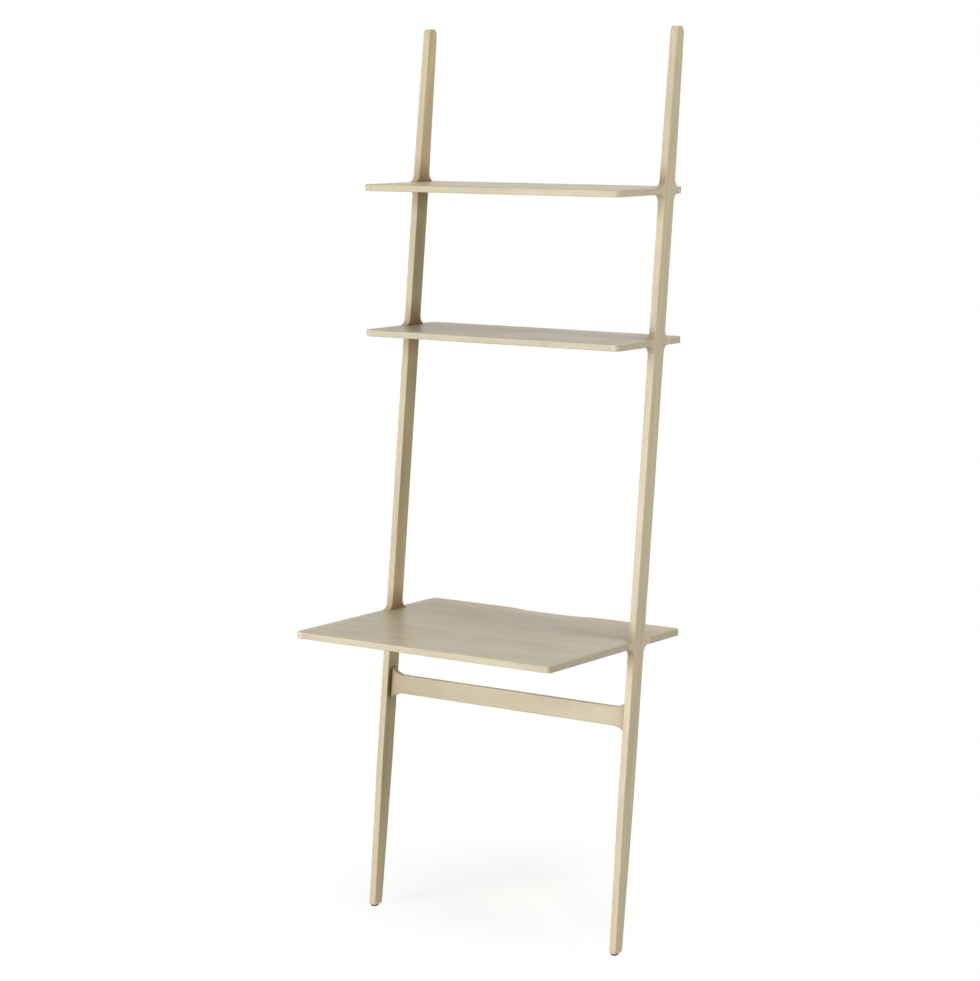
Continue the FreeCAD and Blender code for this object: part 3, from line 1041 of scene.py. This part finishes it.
@dataclass(frozen=True)
class ArmCut:
    """The timber of one arm.

    Attributes:
        side: side of the desk.
        level: what the arm carries.
        tone_factors: factors of the oak's colour; on the left desk arm they also paint a highlight.
        flank_light: factors of painted light and shade on its outer side.
    """

    side: Side
    level: Level
    tone_factors: Triple
    flank_light: Triple = UNCHANGED

    def finish(self, shift: Triple) -> OakFinish:
        """Choose the finish of the arm.

        Args:
            shift: where in the timber it is cut.

        Returns:
            The finish.
        """
        # Painted light and shade on the arm's outer side.
        painted_flank_light = PaintedFaceLight((self.side.outward, 0.0, 0.0), self.flank_light)
        tones = OakTones().stained(*self.tone_factors)
        name = f"Oak {self.side.value} {self.level.value} arm"
        return OakFinish(name, Grain.FRONT_TO_BACK, shift, tones, heart_depth=0.07, face_light=painted_flank_light)


@dataclass(frozen=True)
class BoardCut:
    """The veneer of one board.

    Attributes:
        node: name of the board.
        across: metres across the timber to where it is cut.
        tone_factors: factors of the oak's colour.
        front_edge_light: factors of painted light and shade on its front edge.
        stave_width: metres across each stave.
    """

    node: str
    across: float
    tone_factors: Triple
    front_edge_light: Triple = UNCHANGED
    stave_width: float = 0.14

    def finish(self) -> OakFinish:
        """Choose the finish of the board.

        Returns:
            The finish.
        """
        name = f"Oak {self.node.replace('_', ' ')}"
        shift = (self.across * 9.0, self.across, 0.0)
        tones = OakTones().stained(*self.tone_factors)
        # The front edge gets painted light and shade.
        return OakFinish(
            name, Grain.ACROSS, shift, tones, heart_depth=0.045, stave_width=self.stave_width,
            mottle_share=0.7, corner_shade_share=0.35, face_light=PaintedFaceLight(factors=self.front_edge_light))


@dataclass
class Woodwork:
    """The uprights, arms, boards and cross rail, each cut from its own timber.

    Attributes:
        effects: the shared node groups.
        upright_tones: colours of both uprights.
        inner_shade_factors: painted shade on the uprights' inner sides, which darkens and warms them.
        rail_tones: colours of the cross rail.
        arms: the timber of each arm, with painted light and shade on some.
        boards: the veneer of each board, with painted light and shade on its front edge.
    """

    effects: Effects
    upright_tones: OakTones = OakTones().stained(1.035, 1.035, 1.01)
    inner_shade_factors: Triple = (0.99, 0.95, 0.83)
    rail_tones: OakTones = OakTones().stained(0.80, 0.79, 0.73)
    arms: tuple[ArmCut, ...] = (
        # The left desk arm is paler: a painted highlight on the desk's front-left corner.
        ArmCut(Side.LEFT, Level.DESK, (1.20, 1.22, 1.28)),
        ArmCut(Side.LEFT, Level.MIDDLE, (1.08, 1.14, 1.14)),
        ArmCut(Side.LEFT, Level.TOP, (1.06, 1.10, 1.10)),
        # The second factors paint light and shade on the outer sides of the right arms.
        ArmCut(Side.RIGHT, Level.DESK, (1.00, 0.99, 0.96), (0.81, 0.80, 0.84)),
        ArmCut(Side.RIGHT, Level.MIDDLE, (0.90, 0.92, 0.89), (0.99, 1.00, 0.98)),
        ArmCut(Side.RIGHT, Level.TOP, (0.96, 0.96, 0.95), (1.09, 1.09, 1.10)),
    )
    boards: tuple[BoardCut, ...] = (
        BoardCut("desk_top", 0.05, (1.10, 1.06, 1.0), (0.97, 1.03, 1.12)),
        BoardCut("middle_shelf", 0.41, (0.93, 0.90, 0.93), (0.91, 0.97, 0.92)),
        BoardCut("top_shelf", 0.77, (0.89, 0.88, 0.83)),
    )

    def finishes(self) -> Iterator[tuple[str, OakFinish]]:
        """Choose the finish of each wooden node.

        Returns:
            The nodes, each with its finish.
        """
        for index, side in enumerate(Side):
            shift = (0.37 + 3.1 * index, 0.42, 0.11)
            # Painted shade on the upright's inner side.
            painted_inner_shade = PaintedFaceLight((-side.outward, 0.0, 0.0), self.inner_shade_factors)
            yield side.value + "_upright", OakFinish(
                f"Oak {side.value} upright", Grain.UP_THE_LEAN, shift, self.upright_tones,
                heart_depth=0.08, lacquer=0.7, face_light=painted_inner_shade)
        for index, arm in enumerate(self.arms):
            end, step = divmod(index, len(Level))
            shift = (1.3 * step + 0.7 * end, 0.2 + 0.31 * step, 0.05 * end)
            yield f"{arm.side.value}_{arm.level.value}_arm", arm.finish(shift)
        for board in self.boards:
            yield board.node, board.finish()
        yield "cross_rail", OakFinish(
            "Oak cross rail", Grain.ACROSS, (5.2, 0.3, 0.66), self.rail_tones, heart_depth=0.06)

    def build(self) -> None:
        """Dress every wooden node."""
        for node, finish in self.finishes():
            dress(node, finish.material(self.effects))


@dataclass
class CamFittings:
    """Cams, their bolts and the loose tongues, at each level and at the rail.

    Attributes:
        effects: the shared node groups.
        cam_radius: radius of a cam.
        cam_height: height of a cam.
        cam_segments: edges round a cam.
        rim: chamfer of a cam.
        drive_reach: from the middle of the cross drive to the end of an arm.
        drive_half: half of the width of an arm.
        drive_depth: depth of the cross drive.
        bolt_radius: radius of a bolt's head and of the crest of its thread.
        head_length: length of the head, which sits in the cam.
        head_rounding: how much the head narrows towards its ends.
        neck_length: length of the neck that the cam grips.
        neck_radius: radius of the neck.
        shank_share: radius of the shank before the thread, as a share of the bolt's.
        thread_start: from the end of the head to the thread, past the joint.
        thread_pitch: from one turn of the thread to the next.
        thread_depth: from the crest of the thread to its root.
        thread_steepness: how steep the thread's flanks are.
        loop_gap: length over which a bolt takes one more loop.
    """

    effects: Effects
    cam_radius: float = 7.4 * MM
    cam_height: float = 11.9 * MM
    cam_segments: int = 48
    rim: float = 0.5 * MM
    drive_reach: float = 4.5 * MM
    drive_half: float = 0.85 * MM
    drive_depth: float = 2.4 * MM
    bolt_radius: float = 2.95 * MM
    head_length: float = 3.2 * MM
    head_rounding: float = 2.4
    neck_length: float = 9.0 * MM
    neck_radius: float = 1.8 * MM
    shank_share: float = 0.92
    thread_start: float = 24.5 * MM
    thread_pitch: float = 2.2 * MM
    thread_depth: float = 0.7 * MM
    thread_steepness: float = 4.0
    loop_gap: float = 0.275 * MM

    def cam_place(self, island: Island, at_rail: bool) -> Matrix:
        """Find the axes of a cam: Z into the wood, X towards the joint.

        Args:
            island: box of the cam.
            at_rail: whether it lies in the rail, which leans with the uprights.

        Returns:
            The place of its middle.
        """
        lean = math.radians(LEAN_DEGREES)
        outward = Vector((island.outward, 0.0, 0.0))
        inward = Vector((0.0, -math.cos(lean), math.sin(lean))) if at_rail else Vector((0.0, 0.0, 1.0))
        axes = Matrix((outward, inward.cross(outward), inward)).transposed().to_4x4()
        return Matrix.Translation(island.middle) @ axes

    def add_cam(self, bm: BMesh, place: Matrix) -> None:
        """Add one cam: a disc with chamfered rims and a cross drive.

        Args:
            bm: mesh that takes the faces.
            place: place of its middle.
        """
        half = self.cam_height / 2.0
        inset = self.cam_radius - self.rim
        sizes = ((inset, -half), (self.cam_radius, -half + self.rim),
                 (self.cam_radius, half - self.rim), (inset, half))
        rows = []
        for radius, height in sizes:
            points = circle(lambda angle: radius, height, place, self.cam_segments)
            rows.append([bm.verts.new(point) for point in points])
        for low, high in zip(rows, rows[1:]):
            join_rows(bm, low, high)
        bm.faces.new(rows[-1])

        drive = cross(self.drive_reach, self.drive_half)
        mouth = [bm.verts.new(point) for point in raised(drive, -half, place)]
        floor = [bm.verts.new(point) for point in raised(drive, -half + self.drive_depth, place)]
        join_rows(bm, floor, mouth)
        bm.faces.new(floor)
        border = []
        for row in (rows[0], mouth):
            border += [bm.edges.get((row[here], row[(here + 1) % len(row)])) for here in range(len(row))]
        bmesh.ops.triangle_fill(bm, use_beauty=True, edges=border)

    def bolt_radius_at(self, station: float, angle: float) -> float:
        """Find the radius of a bolt.

        Args:
            station: distance from the end of its head.
            angle: angle about it.

        Returns:
            The radius.
        """
        if station < self.head_length:
            # The head is a barrel, fullest in its middle.
            share = station / self.head_length
            return self.bolt_radius * math.sqrt(1.0 - (share - 0.5) ** 2 * self.head_rounding)
        if station < self.head_length + self.neck_length:
            return self.neck_radius
        if station < self.thread_start:
            return self.bolt_radius * self.shank_share
        crest = thread_height(station, angle, self.thread_pitch, self.thread_steepness)
        return self.bolt_radius - self.thread_depth * (1.0 - crest)

    def add_bolt(self, bm: BMesh, island: Island) -> None:
        """Add one bolt, with its head at the inner end.

        Args:
            bm: mesh that takes the faces.
            island: box of the bolt.
        """
        outward = island.outward
        head = island.low.x if outward > 0.0 else island.high.x
        place = Matrix.Translation((head, island.middle.y, island.middle.z))
        turn = Matrix.Rotation(outward * math.pi / 2.0, 4, "Y")
        length = island.high.x - island.low.x
        TurnedRod(self.bolt_radius_at, length, self.loop_gap).add(bm, place @ turn)

    def build(self) -> None:
        """Build the cams and bolts, and dress the tongues."""
        casting = PlatedMetal("Zinc casting", from_srgb(176, 177, 178), from_srgb(132, 133, 136), 0.42)
        steel = PlatedMetal("Plated bolt steel", from_srgb(196, 198, 200), from_srgb(150, 152, 156), 0.3)
        finishes = (casting, steel, LayeredWood("Birch plywood"))
        cam_zinc, bolt_steel, plywood = (finish.material(self.effects) for finish in finishes)
        for level in ("desk", "middle_shelf", "top_shelf", "rail"):
            cams = bmesh.new()
            for island in islands(level + "_cams"):
                self.add_cam(cams, self.cam_place(island, level == "rail"))
            piece_from(cams, level + "_cam_discs", cam_zinc, [level + "_cams"])
            bolts = bmesh.new()
            for island in islands(level + "_cam_bolts"):
                self.add_bolt(bolts, island)
            piece_from(bolts, level + "_threaded_bolts", bolt_steel, [level + "_cam_bolts"])
            dress(level + "_tongues", plywood)


@dataclass
class WallBrackets:
    """Bent steel brackets and the screws that hold them to the middle shelf.

    Attributes:
        effects: the shared node groups.
        sheet: thickness of a bracket.
        screw_from_wall: from the wall to the middle of a screw.
        head_radius: radius of a screw's head.
        head_height: height of its head.
        head_rounding: how much the head narrows towards its top.
        core_radius: radius in the root of the thread.
        crest_radius: radius on its crest.
        thread_pitch: from one turn of the thread to the next.
        thread_steepness: how steep the thread's flanks are.
        length: length of a screw without its head.
        point_length: length of its point.
        recess_reach: from the middle of the cross recess to the end of an arm.
        recess_half: half of the width of an arm.
        recess_depth: depth of the recess.
        recess_taper: size of the recess at its foot, as a share of its mouth.
        recess_overshoot: how far the cutting shape stands out of the head.
        loop_gap: length over which a screw takes one more loop.
        segments: edges round a screw.
    """

    effects: Effects
    sheet: float = 2.0 * MM
    screw_from_wall: float = 19.0 * MM
    head_radius: float = 3.9 * MM
    head_height: float = 2.1 * MM
    head_rounding: float = 0.75
    core_radius: float = 1.2 * MM
    crest_radius: float = 1.7 * MM
    thread_pitch: float = 1.4 * MM
    thread_steepness: float = 5.0
    length: float = 12.0 * MM
    point_length: float = 2.5 * MM
    recess_reach: float = 2.0 * MM
    recess_half: float = 0.5 * MM
    recess_depth: float = 1.1 * MM
    recess_taper: float = 0.45
    recess_overshoot: float = 0.3 * MM
    loop_gap: float = 0.2 * MM
    segments: int = 32

    def radius_at(self, station: float, angle: float) -> float:
        """Find the radius of a screw.

        Args:
            station: distance from the top of its head.
            angle: angle about it.

        Returns:
            The radius.
        """
        if station <= self.head_height:
            # The head is a dome with a blunt top, widest where it meets the bracket.
            share = 1.0 - station / self.head_height
            return self.head_radius * math.sqrt(1.0 - share ** 2 * self.head_rounding)
        left = self.head_height + self.length - station
        taper = min(1.0, max(0.08, left / self.point_length))
        crest = thread_height(station, angle, self.thread_pitch, self.thread_steepness)
        return (self.core_radius + (self.crest_radius - self.core_radius) * crest) * taper

    def add_cross(self, bm: BMesh, place: Matrix) -> None:
        """Add the shape that a cross recess takes out of a head.

        Args:
            bm: mesh that takes the faces.
            place: place of the head's top, with Z into it.
        """
        mouth = cross(self.recess_reach, self.recess_half)
        foot = [(x * self.recess_taper, y * self.recess_taper) for x, y in mouth]
        skin(bm, [raised(mouth, -self.recess_overshoot, place), raised(foot, self.recess_depth, place)])

    def build(self) -> None:
        """Dress the brackets and build their screws."""
        light, dark = from_srgb(188, 190, 192), from_srgb(146, 148, 152)
        steel = PlatedMetal("Plated bracket steel", light, dark, 0.36).material(self.effects)
        screw = TurnedRod(self.radius_at, self.head_height + self.length, self.loop_gap, self.segments)
        screws, crosses = bmesh.new(), bmesh.new()
        for side in Side:
            node = side.value + "_wall_bracket"
            dress(node, steel)
            low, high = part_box(node)
            head_top = high.z - self.sheet - self.head_height
            place = Matrix.Translation(((low.x + high.x) / 2.0, high.y - self.screw_from_wall, head_top))
            screw.add(screws, place)
            self.add_cross(crosses, place)
        carve(piece_from(screws, "bracket_screws", steel), crosses)


@dataclass
class Pads:
    """Plastic pads under the feet and rubber pads behind the tips.

    Attributes:
        effects: the shared node groups.
        corner: radius of the corners.
        rim: radius of the rounded rim.
        rim_steps: bands of faces round the rim.
        foot_pad_height: height of a foot pad without its stem.
        stem_radius: radius of the stem.
        stem_length: length of the stem.
    """

    effects: Effects
    corner: float = 2.0 * MM
    rim: float = 0.7 * MM
    rim_steps: int = 4
    foot_pad_height: float = 4.0 * MM
    stem_radius: float = 2.4 * MM
    stem_length: float = 12.0 * MM

    def add_block(self, bm: BMesh, half_x: float, half_y: float, height: float, place: Matrix) -> None:
        """Add a block whose foot has a rounded rim.

        Args:
            bm: mesh that takes the faces.
            half_x: half of its width.
            half_y: half of its depth.
            height: its height.
            place: where it stands; its foot is at Z = 0.
        """
        loops = []
        for step in range(self.rim_steps + 1):
            angle = math.pi / 2.0 * step / self.rim_steps
            inset = self.rim * (1.0 - math.sin(angle))
            outline = rounded_rectangle(half_x - inset, half_y - inset, self.corner - inset)
            loops.append(raised(outline, self.rim * (1.0 - math.cos(angle)), place))
        loops.append(raised(rounded_rectangle(half_x, half_y, self.corner), height, place))
        skin(bm, loops)

    def build_foot_pad(self, side: Side, plastic: Material) -> None:
        """Build the pad under one foot, with its stem.

        Args:
            side: side of the desk.
            plastic: its material.
        """
        node = side.value + "_foot_pad"
        low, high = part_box(node)
        middle = (low + high) / 2.0
        pad = bmesh.new()
        place = Matrix.Translation((middle.x, middle.y, low.z))
        self.add_block(pad, (high.x - low.x) / 2.0, (high.y - low.y) / 2.0, self.foot_pad_height, place)
        stem_foot = Matrix.Translation((middle.x, middle.y, self.foot_pad_height))
        stem = TurnedRod(lambda station, angle: self.stem_radius, self.stem_length, self.stem_length)
        stem.add(pad, stem_foot)
        piece_from(pad, side.value + "_foot_glide", plastic, [node])

    def build_wall_pad(self, side: Side, rubber: Material) -> None:
        """Build the pad behind one tip.

        Args:
            side: side of the desk.
            rubber: its material.
        """
        node = side.value + "_wall_pad"
        low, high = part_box(node)
        middle = (low + high) / 2.0
        pad = bmesh.new()
        place = Matrix.Translation((middle.x, high.y, middle.z)) @ Matrix.Rotation(math.pi / 2.0, 4, "X")
        self.add_block(pad, (high.x - low.x) / 2.0, (high.z - low.z) / 2.0, high.y - low.y, place)
        piece_from(pad, side.value + "_wall_bumper", rubber, [node])

    def build(self) -> None:
        """Build all four pads."""
        dark = Moulded("Dark foot plastic", from_srgb(62, 58, 54), from_srgb(38, 35, 33), 0.55)
        pale = Moulded("Pale pad rubber", from_srgb(196, 190, 176), from_srgb(170, 163, 148), 0.75, 0.0006)
        plastic, rubber = dark.material(self.effects), pale.material(self.effects)
        for side in Side:
            self.build_foot_pad(side, plastic)
            self.build_wall_pad(side, rubber)


# ---- studio ----

@dataclass(frozen=True)
class Lamp:
    """A square soft box.

    Attributes:
        name: its name.
        place: where it hangs.
        side: length of its sides.
        power: watts.
        aim: what it shines at.
    """

    name: str
    place: Triple
    side: float
    power: float
    aim: Triple = (0.0, 0.0, 1.0)

    def axis(self) -> Vector:
        """Direction in which the lamp shines."""
        return (Vector(self.aim) - Vector(self.place)).normalized()

    def build(self) -> None:
        """Hang the lamp and turn it to its aim."""
        data = bpy.data.lights.new(self.name, "AREA")
        data.shape = "SQUARE"
        data.size = self.side
        data.energy = self.power
        lamp = new_object(self.name, data)
        lamp.location = self.place
        lamp.rotation_euler = (-self.axis()).to_track_quat("Z", "Y").to_euler()


@dataclass(frozen=True)
class Viewpoint:
    """The camera.

    Attributes:
        place: where it stands.
        yaw: degrees that it is turned to the left from straight ahead.
        pitch: degrees that it looks up.
        roll: degrees that it is tilted.
        focal_px: focal length in pixels.
        long_side_px: long side of the picture in pixels.
        sensor: millimetres across the sensor.
    """

    place: Triple = (3.9648, -5.5463, 2.0667)
    yaw: float = 35.518
    pitch: float = -8.173
    roll: float = -0.151
    focal_px: float = 2877.05
    long_side_px: float = 981.0
    sensor: float = 36.0

    def build(self) -> None:
        """Make the camera and set it as the scene's own."""
        data = bpy.data.cameras.new("Camera")
        data.sensor_width = self.sensor
        data.lens = self.sensor * self.focal_px / self.long_side_px
        data.clip_start = 0.1
        data.clip_end = 100.0
        camera = new_object("Camera", data)
        facing = Euler((math.radians(90.0 + self.pitch), 0.0, math.radians(self.yaw))).to_matrix()
        turn = facing @ Matrix.Rotation(math.radians(self.roll), 3, "Z")
        camera.rotation_euler = turn.to_euler()
        camera.location = self.place
        bpy.context.scene.camera = camera


@dataclass
class Studio:
    """Pale floor, white backdrop, soft lamps and the camera.

    Attributes:
        floor_half: half of the floor's width.
        floor_tone: share of the light that the floor sends back.
        shadow_share: strength of the shadow at its centre, where 1 is as it falls.
        shadow_near: metres from the centre to where it starts to fade.
        shadow_far: metres from the centre to where it has gone.
        shadow_centre: where it is deepest.
        fill: strength of the light from all around.
        lamps: the soft boxes.
    """

    floor_half: float = 14.0
    floor_tone: float = 0.87
    shadow_share: float = 1.45
    shadow_near: float = 0.0
    shadow_far: float = 0.60
    shadow_centre: Triple = (-0.12, 0.37, 0.0)
    fill: float = 0.03
    lamps: tuple[Lamp, ...] = (
        Lamp("Key", (-3.2, -8.4, 0.9), 3.0, 605.0, (0.0, 0.0, 0.7)),
        Lamp("Front", (-1.2, -6.8, 2.6), 0.6, 35.0),
        Lamp("High right", (6.5, 0.5, 6.0), 2.5, 168.0),
        Lamp("High front", (5.0, -4.5, 6.5), 2.5, 132.0),
        Lamp("Low right", (6.0, 0.6, 1.4), 2.5, 27.0),
        Lamp("Over", (0.2, 0.3, 7.0), 2.5, 48.0),
        Lamp("Back", (-1.9, 7.5, 1.0), 2.0, 120.0),
    )

    @staticmethod
    def shown_rays(make: Wiring) -> Socket:
        """Find the rays that see the backdrop: from the camera, a reflection or glass.

        Args:
            make: wiring of a material or the world.

        Returns:
            1 for those rays and 0 for the rest.
        """
        path = make.add("ShaderNodeLightPath").outputs
        rays = make.math("MAXIMUM", path["Is Camera Ray"], path["Is Glossy Ray"])
        return make.math("MAXIMUM", rays, path["Is Transmission Ray"])

    def build_world(self) -> None:
        """White where it is seen, and a soft fill elsewhere."""
        world = bpy.data.worlds.new("Studio")
        bpy.context.scene.world = world
        world.use_nodes = True
        world.node_tree.nodes.clear()
        make = Wiring(world.node_tree)
        fill = make.add("ShaderNodeBackground", {"Color": WHITE, "Strength": self.fill}).outputs[0]
        seen = make.add("ShaderNodeBackground", {"Color": WHITE, "Strength": 1.0}).outputs[0]
        mix = make.add("ShaderNodeMixShader", {0: self.shown_rays(make), 1: fill, 2: seen})
        make.add("ShaderNodeOutputWorld", {"Surface": mix.outputs[0]})

    def bare_light(self, make: Wiring, place: Socket) -> Socket:
        """Find the brightness that the floor has where nothing shades it.

        Args:
            make: wiring of the floor's material.
            place: place on the floor.

        Returns:
            The light that the fill and each lamp send back from there.
        """
        total = self.fill
        for lamp in self.lamps:
            away = make.vector("SUBTRACT", place, lamp.place)[0]
            facing = make.vector("DOT_PRODUCT", away, tuple(lamp.axis()))["Value"]
            distance = make.vector("LENGTH", away)["Value"]
            fade = make.math("DIVIDE", facing, make.math("POWER", distance, 4.0))
            # The height over the distance gives the floor's cosine, and each pi spreads over half a sphere.
            strength = lamp.power * lamp.place[2] / math.pi ** 2
            total = make.math("ADD", make.math("MULTIPLY", fade, strength), total)
        return make.math("MULTIPLY", total, self.floor_tone)

    def floor_material(self) -> Material:
        """Make a floor that is white where it is bare and keeps the desk's soft shadow.

        Returns:
            The material.
        """
        material, make = new_material("Pale floor")
        place = make.add("ShaderNodeTexCoord").outputs["Object"]
        distance = make.vector("DISTANCE", place, self.shadow_centre)["Value"]
        share = make.spread(distance, self.shadow_near, self.shadow_far, self.shadow_share, 0.0)
        grain = make.noise(place, (30.0, 30.0, 30.0), 2.0)
        tone = make.spread(grain, 0.2, 0.8, self.floor_tone - 0.01, self.floor_tone + 0.01)
        lit = make.add("ShaderNodeBsdfDiffuse", {"Color": make.colour(tone, tone, tone)}).outputs[0]
        kept = make.math("MULTIPLY", tone, share)
        shaded = make.add("ShaderNodeBsdfDiffuse", {"Color": make.colour(kept, kept, kept)})
        rest = make.math("SUBTRACT", 1.0, make.math("MULTIPLY", self.bare_light(make, place), share))
        white = make.add("ShaderNodeEmission", {"Color": WHITE, "Strength": rest})
        shown = make.add("ShaderNodeAddShader", {0: white.outputs[0], 1: shaded.outputs[0]}).outputs[0]
        mix = make.add("ShaderNodeMixShader", {0: self.shown_rays(make), 1: lit, 2: shown})
        make.add("ShaderNodeOutputMaterial", {"Surface": mix.outputs[0]})
        return material

    def build_floor(self) -> None:
        """Lay the floor."""
        bm = bmesh.new()
        bmesh.ops.create_grid(bm, x_segments=1, y_segments=1, size=self.floor_half)
        mesh = mesh_from(bm, "Floor")
        mesh.materials.append(self.floor_material())
        new_object("Floor", mesh)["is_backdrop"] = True

    def build(self) -> None:
        """Set up the whole studio."""
        self.build_world()
        self.build_floor()
        for lamp in self.lamps:
            lamp.build()
        Viewpoint().build()
        bpy.context.scene.view_settings.view_transform = "Standard"
        LOG.info("set up the studio")


def write_sizes() -> None:
    boxes = {"cad": CAD_BOX, "visual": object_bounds()}
    plain = {name: [list(corner) for corner in corners] for name, corners in boxes.items()}


def main() -> None:
    """Build and dress the desk, sub-assembly by sub-assembly."""
    logging.basicConfig(level=logging.INFO, format="%(name)s: %(message)s")
    effects = Effects()
    Studio().build()
    Woodwork(effects).build()
    CamFittings(effects).build()
    WallBrackets(effects).build()
    Pads(effects).build()
    write_sizes()


if __name__ == "__main__":
    main()
